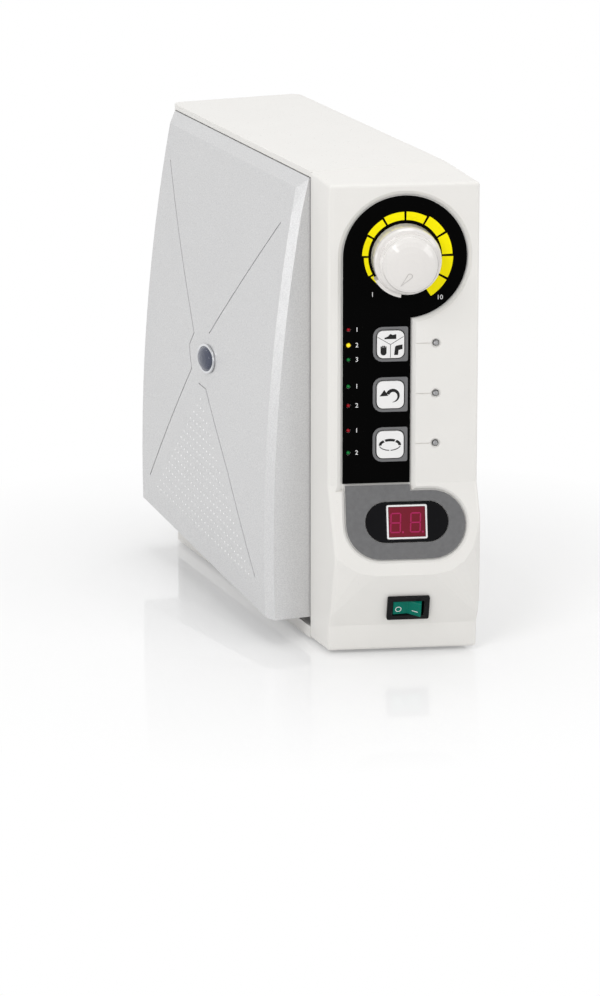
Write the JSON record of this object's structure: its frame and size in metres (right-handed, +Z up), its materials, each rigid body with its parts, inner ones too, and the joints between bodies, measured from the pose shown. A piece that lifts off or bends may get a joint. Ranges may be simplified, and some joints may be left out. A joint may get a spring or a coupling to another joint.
{
  "type": "dental micromotor control unit",
  "caption": "Upright desktop control unit for a dental micromotor, with a speed knob, push keys, a display, a rocker switch and a hinged knee panel.",
  "frame": {"origin": "centre of the bounding box's footprint, on the table", "axes": "+Z up; -Y towards the user, out of the front with the knob and the display; -X out of the side with the knee panel"},
  "size_m": [0.1034, 0.2816, 0.2624],
  "materials": {
    "white_plastic": "glossy off-white moulded plastic",
    "silver_paint": "fine metallic silver paint on plastic",
    "chrome": "bright chrome",
    "steel": "plated steel",
    "aluminium": "plain aluminium",
    "overlay_film": "glossy black printed film",
    "black_plastic": "satin black plastic",
    "grey_plastic": "satin grey plastic",
    "red_window": "dark red tinted window",
    "green_rocker": "translucent green plastic",
    "red_lamp": "red lens",
    "yellow_lamp": "yellow lens, lit",
    "green_lamp": "green lens",
    "clear_lamp": "clear lens",
    "rubber": "black rubber",
    "board": "green circuit board"
  },
  "bodies": {
    "case": {"front_bezel": "white_plastic", "main_housing": "white_plastic", "base_tray": "white_plastic", "rear_panel": "white_plastic", "inner_wall": "aluminium", "knee_hinge_pin": "steel", "knee_bracket_front": "steel", "knee_bracket_rear": "steel", "knee_spring": "steel", "plunger_guide": "white_plastic", "knee_sensor": "black_plastic", "control_overlay": "overlay_film", "display_plate": "grey_plastic", "display_surround": "overlay_film", "display_frame": "white_plastic", "display_window": "red_window", "display_module": "black_plastic", "pot_body": "steel", "pot_nut": "steel", "mode_surround": "grey_plastic", "direction_surround": "grey_plastic", "cruise_surround": "grey_plastic", "mode_switch": "black_plastic", "direction_switch": "black_plastic", "cruise_switch": "black_plastic", "control_board": "board", "status_lamp_1": "red_lamp", "status_lamp_2": "yellow_lamp", "status_lamp_3": "green_lamp", "status_lamp_4": "green_lamp", "status_lamp_5": "red_lamp", "status_lamp_6": "red_lamp", "status_lamp_7": "green_lamp", "indicator_lamp_1": "clear_lamp", "indicator_lamp_2": "clear_lamp", "indicator_lamp_3": "clear_lamp", "power_switch_body": "black_plastic", "mains_inlet": "black_plastic", "motor_socket": "steel", "foot_socket": "steel", "transformer": "steel", "main_board": "board", "heat_sink": "aluminium", "foot_front_left": "rubber", "foot_front_right": "rubber", "foot_rear_left": "rubber", "foot_rear_right": "rubber"},
    "speed_knob": {"knob_skirt": "white_plastic", "knob_cap": "white_plastic", "pot_shaft": "steel"},
    "mode_key_body": {"mode_key": "white_plastic"},
    "direction_key_body": {"direction_key": "white_plastic"},
    "cruise_key_body": {"cruise_key": "white_plastic"},
    "rocker": {"power_rocker": "green_rocker"},
    "knee_paddle": {"knee_panel": "silver_paint", "knee_badge": "chrome"},
    "plunger": {"knee_plunger": "black_plastic"},
    "fuse_holder": {"fuse_drawer": "black_plastic"}
  },
  "joints": [
    {"name": "knob_turn", "type": "hinge", "parent": "case", "child": "speed_knob", "pos_m": [0.01298, -0.11574, 0.2194], "axis": [0.2588, 0.9659, 0], "range_deg": [0, 290]},
    {"name": "mode_key_press", "type": "slide", "parent": "case", "child": "mode_key_body", "axis": [0.2588, 0.9659, 0], "range_m": [0, 0.0005], "stiffness_N_per_m": 2000, "springref_m": -0.0003},
    {"name": "direction_key_press", "type": "slide", "parent": "case", "child": "direction_key_body", "axis": [0.2588, 0.9659, 0], "range_m": [0, 0.0005], "stiffness_N_per_m": 2000, "springref_m": -0.0003},
    {"name": "cruise_key_press", "type": "slide", "parent": "case", "child": "cruise_key_body", "axis": [0.2588, 0.9659, 0], "range_m": [0, 0.0005], "stiffness_N_per_m": 2000, "springref_m": -0.0003},
    {"name": "power_rock", "type": "hinge", "parent": "case", "child": "rocker", "pos_m": [0.01362, -0.12034, 0.02775], "axis": [-0.0937, -0.3498, 0.9321], "range_deg": [0, 24]},
    {"name": "knee_swing", "type": "hinge", "parent": "case", "child": "knee_paddle", "pos_m": [-0.02302, 0, 0.25], "axis": [0, -1, 0], "range_deg": [0, 3.5], "stiffness_Nm_per_rad": 3, "springref_deg": -5.73},
    {"name": "plunger_slide", "type": "slide", "parent": "case", "child": "plunger", "axis": [1, 0, 0], "range_m": [0, 0.0076]},
    {"name": "fuse_drawer_pull", "type": "slide", "parent": "case", "child": "fuse_holder", "axis": [0, 1, 0], "range_m": [0, 0.012]}
  ],
  "couplings": [
    {"joint": "plunger_slide", "follows": "knee_swing", "m_per_rad": 0.122}
  ]
}
